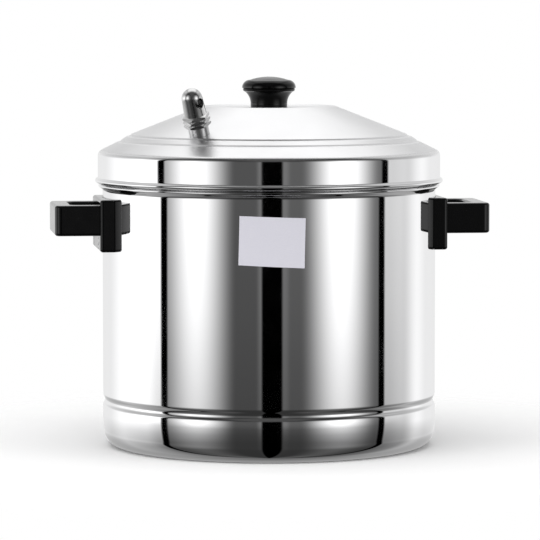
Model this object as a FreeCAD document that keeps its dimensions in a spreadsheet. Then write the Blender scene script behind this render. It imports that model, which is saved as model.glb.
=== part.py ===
import FreeCAD
import Part
import Sketcher
import math
import os
import re

# Idli steamer: a deep steel pot with two moulded handles, a domed lid with a knob and a steam
# whistle, and a lift-out rack of cup plates on a rod. Millimetres, +Z up, and the origin is the
# centre of the pot's base. The handles lie along X and the whistle is on the lid's front left.

V = FreeCAD.Vector

# Driving dimensions in millimetres, angles in degrees
DIMENSIONS = {
    # Pot
    "pot_diameter": 250.0,
    "pot_height": 212.0,
    "pot_wall": 1.2,
    "base_corner": 12.0,
    "water_groove_height": 35.5,
    "water_groove_width": 8.0,
    "water_groove_depth": 1.4,
    "rim_bead_drop": 16.8,
    "rim_bead_round": 2.2,
    "rim_flare_height": 2.6,
    "rim_bead_reach": 3.2,
    # Lid, from its lower edge up and from its outside in
    "lid_diameter": 257.0,
    "lid_wall": 1.2,
    "lid_seat_gap": 0.3,
    "lid_bead_width": 3.8,
    "lid_bead_reach": 2.0,
    "lid_shoulder_height": 23.2,
    "lid_shoulder_round": 5.0,
    "lid_shoulder_width": 16.5,
    "lid_shoulder_rise": 8.1,
    "lid_step_width": 7.0,
    "lid_step_rise": 4.4,
    "lid_cone_rise": 21.8,
    "lid_ring_width": 1.6,
    "lid_ring_depth": 0.35,
    "knob_seat_radius": 45.0,
    "knob_seat_edge": 4.5,
    "knob_seat_depth": 1.2,
    # Knob on the lid
    "knob_diameter": 40.4,
    "knob_neck_diameter": 27.6,
    "knob_height": 23.0,
    "knob_neck_height": 3.0,
    "knob_flare_rise": 8.8,
    "knob_flare_round": 11.5,
    "knob_lip_overhang": 1.2,
    "knob_lip_rise": 2.4,
    "knob_lip_step": 0.5,
    "knob_shoulder_round": 5.9,
    "knob_crown_radius": 45.0,
    "insert_diameter": 10.0,
    "insert_length": 11.0,
    "knob_screw_diameter": 6.0,
    "knob_screw_reach": 9.0,
    "knob_screw_head_diameter": 12.0,
    "knob_screw_head_height": 4.0,
    "knob_washer_diameter": 20.0,
    "knob_washer_thickness": 1.5,
    # Steam whistle on the lid's cone
    "whistle_edge": 0.5,
    "whistle_turn": 231.3,
    "whistle_collar_diameter": 15.0,
    "whistle_collar_height": 6.5,
    "whistle_thread_diameter": 12.0,
    "whistle_bore_diameter": 6.0,
    "whistle_nut_flats": 17.6,
    "whistle_nut_height": 3.05,
    "whistle_nut_twist": 7.0,
    "whistle_cap_wall": 2.25,
    "whistle_cap_taper": 0.7,
    "whistle_cap_height": 20.0,
    "whistle_cap_roof": 4.5,
    "whistle_stem_rise": 6.2,
    "whistle_hole_diameter": 7.6,
    "whistle_hole_height": 9.6,
    "whistle_hole_turn": 76.0,
    "whistle_gasket_diameter": 17.0,
    "whistle_gasket_thickness": 2.0,
    "nut_face_share": 0.95,
    "nut_chamfer": 30.0,
    "lock_nut_flats": 18.0,
    "lock_nut_height": 4.0,
    "whistle_tail": 2.0,
    # Handles on the pot's sides, outwards from its wall and down from its rim bead
    "handle_width": 76.0,
    "handle_reach": 38.0,
    "handle_drop": 8.2,
    "flange_thickness": 5.0,
    "flange_round": 2.5,
    "flange_above_loop": 4.1,
    "flange_below_loop": 12.0,
    "loop_inset": 4.0,
    "loop_height": 22.6,
    "leg_thickness": 11.0,
    "bar_thickness": 13.0,
    "loop_outer_round": 5.0,
    "loop_inner_round": 5.0,
    "loop_edge_round": 2.0,
    "strap_inset": 8.0,
    "strap_height": 8.0,
    "strap_thickness": 1.5,
    "stud_inset": 8.0,
    "stud_diameter": 8.0,
    "stud_reach": 1.6,
    "handle_screw_diameter": 5.0,
    "handle_screw_head_diameter": 8.0,
    "handle_screw_head_height": 2.4,
    # Rack of cup plates
    "first_plate_height": 58.0,
    "plate_pitch": 40.0,
    "plate_thickness": 1.0,
    "plate_rim_depth": 4.0,
    "plate_turn": 30.0,
    "cup_edge": 5.0,
    "cup_spacing": 9.0,
    "cup_depth": 17.0,
    "cup_hole_diameter": 3.2,
    "cup_hole_ring_radius": 14.0,
    "vent_hole_diameter": 9.0,
    "vent_inset": 11.0,
    "rod_diameter": 8.0,
    "rod_top_margin": 26.0,
    "rod_head_diameter": 16.0,
    "rod_head_height": 4.0,
    "spacer_diameter": 14.0,
    "foot_height": 33.0,
    "foot_strip_width": 16.0,
    "foot_strip_thickness": 3.0,
    "foot_toe": 10.0,
    "foot_bend": 4.0,
    "foot_hub_diameter": 42.0,
    "rack_washer_diameter": 22.0,
    "rack_washer_thickness": 1.5,
    "wing_nut_diameter": 18.0,
    "wing_nut_height": 11.0,
    "wing_span": 46.0,
    "wing_height": 18.0,
    "wing_thickness": 3.0,
    # Fits
    "lid_clearance": 2.3,
    "plate_clearance": 7.8,
    "foot_clearance": 15.0,
    "wall_gap": 0.3,
    "weld_gap": 0.05,
    "bolt_clearance": 0.2,
    "thread_clearance": 0.05,
    "insert_clearance": 0.1,
    "pocket_clearance": 0.4,
}

PLATE_COUNT = 4
CUPS_PER_PLATE = 6
HOLES_PER_CUP = 4
WHISTLE_NUTS = 3
FOOT_LEGS = 3

doc = FreeCAD.newDocument("IdliSteamer")
sheet = doc.addObject("Spreadsheet::Sheet", "Dims")
for row, (alias, number) in enumerate(DIMENSIONS.items(), start=1):
    sheet.set(f"A{row}", alias)
    sheet.set(f"B{row}", str(number))
    sheet.setAlias(f"B{row}", alias)
doc.recompute()

ALIASES = re.compile(r"\b(" + "|".join(DIMENSIONS) + r")\b")
PARTS = []


# Expressions on the sheet
def bound(text):
    """Expression text in which every dimension's name points at its cell."""
    return ALIASES.sub(r"Dims.\1", text)


def size(text):
    """Present value of an expression."""
    found = sheet.evalExpression(bound(text))
    return float(getattr(found, "Value", found))


def bind(target, path, text):
    """Tie a property of an object to an expression."""
    target.setExpression(path, bound(text))


# Bodies and sketches
def new_body(label):
    body = doc.addObject("PartDesign::Body", label)
    body.Label = label
    PARTS.append(body)
    return body


def origin_feature(body, role):
    return next(item for item in body.Origin.OriginFeatures if item.Role == role)


def new_sketch(body, name, role, level="0"):
    """Sketch on one of the body's own planes, raised along the plane's normal by level."""
    sketch = body.newObject("Sketcher::SketchObject", name)
    sketch.AttachmentSupport = [(origin_feature(body, role), "")]
    sketch.MapMode = "FlatFace"
    if level != "0":
        bind(sketch, "AttachmentOffset.Base.z", level)
    return sketch


def constrain(sketch, text, *terms):
    """Dimensional constraint that follows an expression."""
    index = sketch.addConstraint(Sketcher.Constraint(*terms, size(text)))
    bind(sketch, f"Constraints[{index}]", text)


def pin(sketch, geometry, point, across, up):
    """Fix a sketch point at two expressions, measured from the sketch's origin."""
    for kind, text, axis in (("DistanceX", across, -2), ("DistanceY", up, -1)):
        if text == "0":
            sketch.addConstraint(Sketcher.Constraint("PointOnObject", geometry, point, axis))
        elif size(text) >= 0:
            constrain(sketch, text, kind, -1, 1, geometry, point)
        else:
            constrain(sketch, f"-({text})", kind, geometry, point, -1, 1)


def arc_between(start, stop, radius, left):
    """Shorter arc from start to stop whose centre is on the left or right of the way."""
    chord = stop.sub(start)
    half = chord.Length / 2
    side = V(-chord.y, chord.x, 0).normalize()
    lift = math.sqrt(max(radius * radius - half * half, 0)) * (1 if left else -1)
    centre = start.add(chord.multiply(0.5)).add(side.multiply(lift))
    angles = [math.atan2(spot.y - centre.y, spot.x - centre.x) for spot in (start, stop)]
    first, last = angles if left else reversed(angles)
    if last < first:
        last += 2 * math.pi
    return Part.ArcOfCircle(Part.Circle(centre, V(0, 0, 1), radius), first, last)


def outline(sketch, corners, bends=None):
    """Closed outline through corners. bends gives, by the corner where an arc starts, its radius and side."""
    bends = bends or {}
    spots = [V(size(across), size(up), 0) for across, up in corners]
    ends = []
    for index, start in enumerate(spots):
        stop = spots[(index + 1) % len(spots)]
        if index in bends:
            radius, side = bends[index]
            left = side == "left"
            edge = sketch.addGeometry(arc_between(start, stop, size(radius), left))
            ends.append((edge, 1, 2) if left else (edge, 2, 1))
        else:
            ends.append((sketch.addGeometry(Part.LineSegment(start, stop)), 1, 2))
    for (edge, _, last), (after, first, _) in zip(ends, ends[1:] + ends[:1]):
        sketch.addConstraint(Sketcher.Constraint("Coincident", edge, last, after, first))
    for (edge, first, _), (across, up) in zip(ends, corners):
        pin(sketch, edge, first, across, up)
    for index, (radius, _) in bends.items():
        constrain(sketch, radius, "Radius", ends[index][0])


def circle(sketch, across, up, radius):
    """Circle at a pinned centre."""
    centre = V(size(across), size(up), 0)
    edge = sketch.addGeometry(Part.Circle(centre, V(0, 0, 1), size(radius)))
    pin(sketch, edge, 3, across, up)
    constrain(sketch, radius, "Radius", edge)


# Features
def turned(body, name, corners, bends=None, cut=False, axis=None):
    """Solid of revolution about the body's Z axis, or about an upright line at radius axis."""
    sketch = new_sketch(body, name + "_profile", "XZ_Plane")
    outline(sketch, corners, bends)
    reference = "V_Axis"
    if axis:
        line = Part.LineSegment(V(size(axis), 0, 0), V(size(axis), 1, 0))
        edge = sketch.addGeometry(line, True)
        pin(sketch, edge, 1, axis, "0")
        sketch.addConstraint(Sketcher.Constraint("Vertical", edge))
        sketch.addConstraint(Sketcher.Constraint("Distance", edge, 1.0))
        reference = "Axis0"
    feature = body.newObject("PartDesign::Groove" if cut else "PartDesign::Revolution", name)
    feature.Profile = sketch
    feature.ReferenceAxis = (sketch, [reference])
    feature.Angle = 360
    return feature


def padded(body, name, sketch, length, both_sides=False):
    feature = body.newObject("PartDesign::Pad", name)
    feature.Profile = sketch
    bind(feature, "Length", length)
    if both_sides:
        feature.SideType = "Symmetric"
    return feature


def pocketed(body, name, sketch, length):
    """Cut upwards along the sketch's normal."""
    feature = body.newObject("PartDesign::Pocket", name)
    feature.Profile = sketch
    feature.Reversed = True
    bind(feature, "Length", length)
    return feature


def cylinder(body, name, radius, height, base, direction, cut=False):
    """Cylinder feature from a base point, given as three expressions, along a direction."""
    kind = "PartDesign::SubtractiveCylinder" if cut else "PartDesign::AdditiveCylinder"
    feature = body.newObject(kind, name)
    bind(feature, "Radius", radius)
    bind(feature, "Height", height)
    feature.Placement = FreeCAD.Placement(V(0, 0, 0), FreeCAD.Rotation(V(0, 0, 1), direction))
    for axis, text in zip("xyz", base):
        bind(feature, f"Placement.Base.{axis}", text)
    return feature


def polar(body, name, features, count):
    """Repeat features around the body's Z axis."""
    pattern = body.newObject("PartDesign::PolarPattern", name)
    pattern.Originals = features
    pattern.Axis = (origin_feature(body, "Z_Axis"), [""])
    pattern.Angle = 360
    pattern.Occurrences = count
    body.Tip = pattern
    return pattern


def rounded(body, name, feature, edges, radius):
    """Fillet on the edges of a feature that a test picks."""
    doc.recompute()
    names = [f"Edge{i}" for i, edge in enumerate(feature.Shape.Edges, start=1) if edges(edge)]
    fillet = body.newObject("PartDesign::Fillet", name)
    fillet.Base = (feature, names)
    bind(fillet, "Radius", radius)
    return fillet


def lies_at(edge, level):
    box = edge.BoundBox
    return max(abs(box.ZMin - level), abs(box.ZMax - level)) < 0.01


def place(body, up="0", out="0", turn=0.0, tilt=0.0):
    """Stand a body at radius out and height up, tilted outwards and then turned about Z."""
    upright = FreeCAD.Rotation(V(0, 0, 1), turn)
    body.Placement = FreeCAD.Placement(V(0, 0, 0), upright * FreeCAD.Rotation(V(0, 1, 0), tilt))
    bind(body, "Placement.Base.x", f"({out}) * cos({turn})")
    bind(body, "Placement.Base.y", f"({out}) * sin({turn})")
    bind(body, "Placement.Base.z", up)


def group(label, members):
    """One node of several equal solids."""
    for member in members:
        PARTS.remove(member)
    bundle = doc.addObject("Part::Compound", label)
    bundle.Label = label
    bundle.Links = members
    PARTS.append(bundle)
    return bundle


def ring(body, name, outer, inner, low, high):
    """Plain turned ring between two radii and two heights."""
    return turned(body, name, [(inner, low), (outer, low), (outer, high), (inner, high)])


def hexagon(flats):
    """Corners of a hexagon from its width across flats."""
    reach = f"{flats} / sqrt(3)"
    return [(f"{reach} * cos({60 * k})", f"{reach} * sin({60 * k})") for k in range(6)]


def hex_nut(label, flats, height, bore, low):
    """Hexagonal nut with a plain bore and chamfered faces, standing on height low."""
    body = new_body(label)
    sketch = new_sketch(body, label + "_outline", "XY_Plane", low)
    corners = hexagon(flats)
    corners[0] = (corners[0][0], "0")
    corners[3] = (corners[3][0], "0")
    outline(sketch, corners)
    circle(sketch, "0", "0", bore)
    padded(body, label + "_block", sketch, height)
    face = f"({flats} / 2 * nut_face_share)"
    fall = f"({flats} - {face}) * tan(nut_chamfer)"
    top = f"{low} + {height}"
    chamfers = {
        "lower": [(face, low), (flats, low), (flats, f"{low} + {fall}")],
        "upper": [(face, top), (flats, f"{top} - {fall}"), (flats, top)],
    }
    for end, corners in chamfers.items():
        turned(body, f"{label}_{end}_chamfer", corners, cut=True)
    return body


# Derived sizes that several pieces share
POT_R = "(pot_diameter / 2)"
POT_IN = f"({POT_R} - pot_wall)"
BEAD_Z = "(pot_height - rim_bead_drop)"
RIM_LEDGE = f"({BEAD_Z} + rim_bead_round)"
LID_R = "(lid_diameter / 2)"
LID_Z = f"({RIM_LEDGE} + lid_seat_gap)"
NECK_R = f"({LID_R} - lid_wall - lid_clearance)"
STEP_R = f"({LID_R} - lid_shoulder_width)"
STEP_H = "(lid_shoulder_height + lid_shoulder_rise)"
CONE_R = f"({STEP_R} - lid_step_width)"
CONE_H = f"({STEP_H} + lid_step_rise)"
TOP_R = "(knob_seat_radius + knob_seat_edge)"
TOP_H = f"({CONE_H} + lid_cone_rise)"
SEAT_H = f"({TOP_H} - knob_seat_depth)"
KNOB_Z = f"({LID_Z} + {SEAT_H})"
CONE_SLOPE = f"atan2(lid_cone_rise; {CONE_R} - {TOP_R})"
GASKET_R = "(whistle_gasket_diameter / 2)"
WHISTLE_R = f"({CONE_R} - {GASKET_R} - whistle_edge)"
WHISTLE_H = f"({CONE_H} + ({CONE_R} - {WHISTLE_R}) * lid_cone_rise / ({CONE_R} - {TOP_R}))"
GASKET_SAG = f"({GASKET_R} ^ 2 * cos({CONE_SLOPE}) / (2 * {WHISTLE_R} - 4 * lid_wall))"
WHISTLE_BORE = "(whistle_thread_diameter / 2 + thread_clearance)"
HANDLE_TOP = f"({BEAD_Z} - handle_drop)"
FLANGE_H = "(flange_below_loop + loop_height + flange_above_loop)"
FLANGE_Z = f"({HANDLE_TOP} - {FLANGE_H})"
FLANGE_X = f"({POT_R} + flange_thickness)"
STUD_X = f"({POT_R} + stud_reach)"
STUD_Z = f"({FLANGE_Z} + flange_below_loop / 2)"
STRAP_W = "(handle_width - 2 * strap_inset)"
STUD_Y = f"({STRAP_W} / 2 - stud_inset)"
ROD_HOLE = "(rod_diameter / 2 + bolt_clearance)"
FLOOR = "pot_wall"
FOOT_R = f"({POT_R} - base_corner - foot_clearance - foot_toe)"
FOOT_TOP = f"({FLOOR} + foot_height)"
PLATE_R = f"({POT_IN} - plate_clearance)"
CUP_SINE = f"sin({180 / CUPS_PER_PLATE})"
CUP_R = f"((({PLATE_R} - cup_edge) * {CUP_SINE} - cup_spacing / 2) / (1 + {CUP_SINE}))"
CUP_RING = f"({PLATE_R} - cup_edge - {CUP_R})"
VENT_RING = f"({PLATE_R} - vent_inset)"
TOP_PLATE = f"(first_plate_height + {PLATE_COUNT - 1} * plate_pitch)"


# Pot
def make_pot():
    body = new_body("pot_shell")
    groove_half = "(water_groove_width / 2)"
    groove_r = f"(({groove_half} ^ 2 + water_groove_depth ^ 2) / (2 * water_groove_depth))"
    groove_in = f"sqrt(2 * ({groove_r} + pot_wall) * water_groove_depth - water_groove_depth ^ 2)"
    neck_in = f"({NECK_R} - pot_wall)"
    bead_r = f"({NECK_R} + rim_bead_reach)"
    flare_z = f"({BEAD_Z} - rim_flare_height)"
    ledge_r = f"({bead_r} - rim_bead_round)"
    outer = [
        ("0", "0"),
        (f"{POT_R} - base_corner", "0"),
        (POT_R, "base_corner"),
        (POT_R, f"water_groove_height - {groove_half}"),
        (POT_R, f"water_groove_height + {groove_half}"),
        (POT_R, flare_z),
        (bead_r, BEAD_Z),
        (ledge_r, RIM_LEDGE),
        (NECK_R, RIM_LEDGE),
        (NECK_R, "pot_height"),
    ]
    inner = [
        (neck_in, "pot_height"),
        (neck_in, f"{RIM_LEDGE} - pot_wall"),
        (ledge_r, f"{RIM_LEDGE} - pot_wall"),
        (f"{bead_r} - pot_wall", BEAD_Z),
        (POT_IN, flare_z),
        (POT_IN, f"water_groove_height + {groove_in}"),
        (POT_IN, f"water_groove_height - {groove_in}"),
        (POT_IN, "base_corner"),
        (f"{POT_R} - base_corner", FLOOR),
        ("0", FLOOR),
    ]
    bends = {
        1: ("base_corner", "left"),
        3: (groove_r, "right"),
        6: ("rim_bead_round", "left"),
        12: ("rim_bead_round - pot_wall", "right"),
        15: (f"{groove_r} + pot_wall", "left"),
        17: ("base_corner - pot_wall", "right"),
    }
    turned(body, "pot_wall_and_base", outer + inner, bends)


# Lid
def under_corner(corner, below, above):
    """Corner of the lid's inner face under an outer corner between two slopes."""
    across, up = corner
    middle = f"(({below} + {above}) / 2)"
    reach = f"(lid_wall / cos(({below} - {above}) / 2))"
    return f"{across} - {reach} * sin({middle})", f"{up} - {reach} * cos({middle})"


def make_lid():
    body = new_body("lid_shell")
    shoulder = "atan2(lid_shoulder_rise; lid_shoulder_width)"
    step = "atan2(lid_step_rise; lid_step_width)"
    edge = "(0 deg - atan2(knob_seat_depth; knob_seat_edge))"
    tangent = f"(lid_shoulder_round * tan((90 deg - {shoulder}) / 2))"
    skirt_top = f"lid_shoulder_height - {tangent}"
    turn_r = f"{LID_R} - {tangent} * cos({shoulder})"
    turn_h = f"lid_shoulder_height + {tangent} * sin({shoulder})"
    seat = ("knob_seat_radius", SEAT_H)
    outer = [
        (LID_R, "0"),
        (LID_R, skirt_top),
        (turn_r, turn_h),
        (STEP_R, STEP_H),
        (CONE_R, CONE_H),
        (TOP_R, TOP_H),
        seat,
        ("0", SEAT_H),
    ]
    inner = [
        ("0", f"{SEAT_H} - lid_wall"),
        under_corner(seat, edge, "0 deg"),
        under_corner((TOP_R, TOP_H), CONE_SLOPE, edge),
        under_corner((CONE_R, CONE_H), step, CONE_SLOPE),
        under_corner((STEP_R, STEP_H), shoulder, step),
        (f"{turn_r} - lid_wall * sin({shoulder})", f"{turn_h} - lid_wall * cos({shoulder})"),
        (f"{LID_R} - lid_wall", skirt_top),
        (f"{LID_R} - lid_wall", "0"),
    ]
    bends = {1: ("lid_shoulder_round", "left"), 13: ("lid_shoulder_round - lid_wall", "right")}
    turned(body, "lid_sheet", outer + inner, bends)
    bead_half = "(lid_bead_width / 2)"
    bead_r = f"(({bead_half} ^ 2 + lid_bead_reach ^ 2) / (2 * lid_bead_reach))"
    bead = [
        (f"{LID_R} - lid_wall / 2", "0"),
        (LID_R, "0"),
        (f"{LID_R} + lid_bead_reach", bead_half),
        (LID_R, "lid_bead_width"),
        (f"{LID_R} - lid_wall / 2", "lid_bead_width"),
    ]
    turned(body, "lid_rolled_edge", bead, {1: (bead_r, "left"), 2: (bead_r, "left")})
    slope = "lid_step_rise / lid_step_width"
    rings = (
        ("lid_upper_ring", CONE_R, CONE_H),
        ("lid_lower_ring", STEP_R, STEP_H),
    )
    for name, radius, level in rings:
        score = [
            (f"{radius} - lid_ring_width / 2", f"{level} + lid_ring_width / 2 * {slope} + lid_ring_depth"),
            (radius, f"{level} - lid_ring_depth"),
            (f"{radius} + lid_ring_width / 2", f"{level} - lid_ring_width / 2 * {slope} + lid_ring_depth"),
        ]
        turned(body, name, score, cut=True)
    cylinder(
        body, "knob_screw_hole", "knob_screw_diameter / 2 + bolt_clearance", "4 * lid_wall",
        ("0", "0", f"{SEAT_H} - 2 * lid_wall"), V(0, 0, 1), cut=True,
    )
    tilt = math.radians(size(CONE_SLOPE))
    turn = math.radians(size("whistle_turn"))
    normal = V(math.sin(tilt) * math.cos(turn), math.sin(tilt) * math.sin(turn), math.cos(tilt))
    depth = "3 * lid_wall"
    base = (
        f"({WHISTLE_R} - {depth} * sin({CONE_SLOPE})) * cos(whistle_turn)",
        f"({WHISTLE_R} - {depth} * sin({CONE_SLOPE})) * sin(whistle_turn)",
        f"{WHISTLE_H} - {depth} * cos({CONE_SLOPE})",
    )
    hole_r = "whistle_thread_diameter / 2 + bolt_clearance"
    cylinder(body, "whistle_hole", hole_r, f"2 * {depth}", base, normal, cut=True)
    place(body, LID_Z)


def make_knob():
    knob = new_body("lid_knob")
    radius = "(knob_diameter / 2)"
    neck = "(knob_neck_diameter / 2)"
    lip = f"({radius} - 2 * knob_lip_step)"
    flare_z = "(knob_neck_height + knob_flare_rise)"
    lip_z = f"({flare_z} + knob_lip_rise)"
    crown_x = f"({radius} - knob_shoulder_round)"
    crown_z = f"(knob_height - knob_crown_radius + sqrt(knob_crown_radius ^ 2 - {crown_x} ^ 2))"
    insert_r = "(insert_diameter / 2 + insert_clearance)"
    insert_top = "(insert_length + insert_clearance)"
    corners = [
        (insert_r, "0"),
        (neck, "0"),
        (neck, "knob_neck_height"),
        (f"{lip} - knob_lip_overhang", flare_z),
        (lip, f"{flare_z} + knob_lip_step"),
        (f"{radius} - knob_lip_step", f"{lip_z} - knob_lip_step"),
        (lip, lip_z),
        (radius, f"{lip_z} + knob_lip_step"),
        (crown_x, crown_z),
        ("0", "knob_height"),
        ("0", insert_top),
        (insert_r, insert_top),
    ]
    rise = f"({crown_z} - {lip_z} - knob_lip_step)"
    shoulder_r = f"(({rise} ^ 2 + knob_shoulder_round ^ 2) / (2 * knob_shoulder_round))"
    bends = {
        2: ("knob_flare_round", "right"),
        7: (shoulder_r, "left"),
        8: ("knob_crown_radius", "left"),
    }
    turned(knob, "knob_form", corners, bends)
    place(knob, KNOB_Z)

    insert = new_body("knob_insert")
    bore = "knob_screw_diameter / 2 + thread_clearance"
    ring(insert, "insert_bush", "insert_diameter / 2", bore, "0", "insert_length")
    place(insert, KNOB_Z)

    washer = new_body("knob_washer")
    under = "(-lid_wall)"
    low = f"{under} - knob_washer_thickness"
    hole = "knob_screw_diameter / 2 + bolt_clearance"
    ring(washer, "knob_washer_disc", "knob_washer_diameter / 2", hole, low, under)
    place(washer, KNOB_Z)

    screw = new_body("knob_screw")
    shank = "knob_screw_diameter / 2"
    head = "knob_screw_head_diameter / 2"
    shape = [
        ("0", f"{low} - knob_screw_head_height"),
        (f"{head} - knob_screw_head_height / 3", f"{low} - knob_screw_head_height"),
        (head, f"{low} - knob_screw_head_height * 2 / 3"),
        (head, low),
        (shank, low),
        (shank, "knob_screw_reach"),
        ("0", "knob_screw_reach"),
    ]
    turned(screw, "knob_screw_form", shape)
    place(screw, KNOB_Z)


# Steam whistle, built along its own axis from the lid's outer face
def stand_on_cone(body):
    place(body, f"{LID_Z} + {WHISTLE_H}", WHISTLE_R, size("whistle_turn"), size(CONE_SLOPE))


def make_whistle():
    bore = "whistle_bore_diameter / 2"
    thread = "whistle_thread_diameter / 2"
    collar_top = "whistle_collar_height"
    cap_low = f"(whistle_collar_height + {WHISTLE_NUTS} * whistle_nut_height)"
    gasket_top = f"(-lid_wall - {GASKET_SAG})"
    gasket_low = f"({gasket_top} - whistle_gasket_thickness)"
    nut_low = f"({gasket_low} - lock_nut_height)"
    stem_top = f"({cap_low} + whistle_stem_rise)"

    stem = new_body("whistle_stem")
    corners = [
        (bore, f"{nut_low} - whistle_tail"),
        (thread, f"{nut_low} - whistle_tail"),
        (thread, "0"),
        ("whistle_collar_diameter / 2", "0"),
        ("whistle_collar_diameter / 2", collar_top),
        (thread, collar_top),
        (thread, stem_top),
        (bore, stem_top),
    ]
    turned(stem, "stem_form", corners)
    stand_on_cone(stem)

    nuts = []
    for index in range(WHISTLE_NUTS):
        low = f"{collar_top} + {index} * whistle_nut_height"
        label = f"whistle_nut_{index + 1}"
        nut = hex_nut(label, "whistle_nut_flats", "whistle_nut_height", WHISTLE_BORE, low)
        stand_on_cone(nut)
        twist = FreeCAD.Rotation(V(0, 0, 1), index * size("whistle_nut_twist"))
        nut.Placement.Rotation = nut.Placement.Rotation * twist
        nuts.append(nut)
    group("whistle_nuts", nuts)

    cap = new_body("whistle_cap")
    base_r = f"({WHISTLE_BORE} + whistle_cap_wall)"
    radius = f"({base_r} - whistle_cap_taper)"
    cap_top = f"({cap_low} + whistle_cap_height)"
    cavity_top = f"{cap_top} - whistle_cap_roof"
    form = [
        (WHISTLE_BORE, cap_low),
        (base_r, cap_low),
        (radius, f"{cap_top} - {radius}"),
        ("0", cap_top),
        ("0", cavity_top),
        (WHISTLE_BORE, cavity_top),
    ]
    turned(cap, "cap_form", form, {2: (radius, "left")})
    hole_turn = math.radians(size("whistle_hole_turn"))
    outward = V(math.cos(hole_turn), math.sin(hole_turn), 0)
    cylinder(
        cap, "steam_hole", "whistle_hole_diameter / 2", f"2 * {base_r}",
        ("0", "0", f"{cap_low} + whistle_hole_height"), outward, cut=True,
    )
    stand_on_cone(cap)

    gasket = new_body("whistle_gasket")
    ring(gasket, "gasket_ring", GASKET_R, WHISTLE_BORE, gasket_low, gasket_top)
    stand_on_cone(gasket)

    lock_nut = hex_nut("whistle_lock_nut", "lock_nut_flats", "lock_nut_height", WHISTLE_BORE, nut_low)
    stand_on_cone(lock_nut)


# Handles
def sector(sketch, inner, outer, width):
    """Curved strip between two radii about the pot's axis, with parallel ends."""
    half = f"({width} / 2)"
    near = f"sqrt({inner} ^ 2 - {half} ^ 2)"
    far = f"sqrt({outer} ^ 2 - {half} ^ 2)"
    corners = [(near, f"-{half}"), (far, f"-{half}"), (far, half), (near, half)]
    outline(sketch, corners, {1: (outer, "left"), 3: (inner, "right")})


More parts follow.
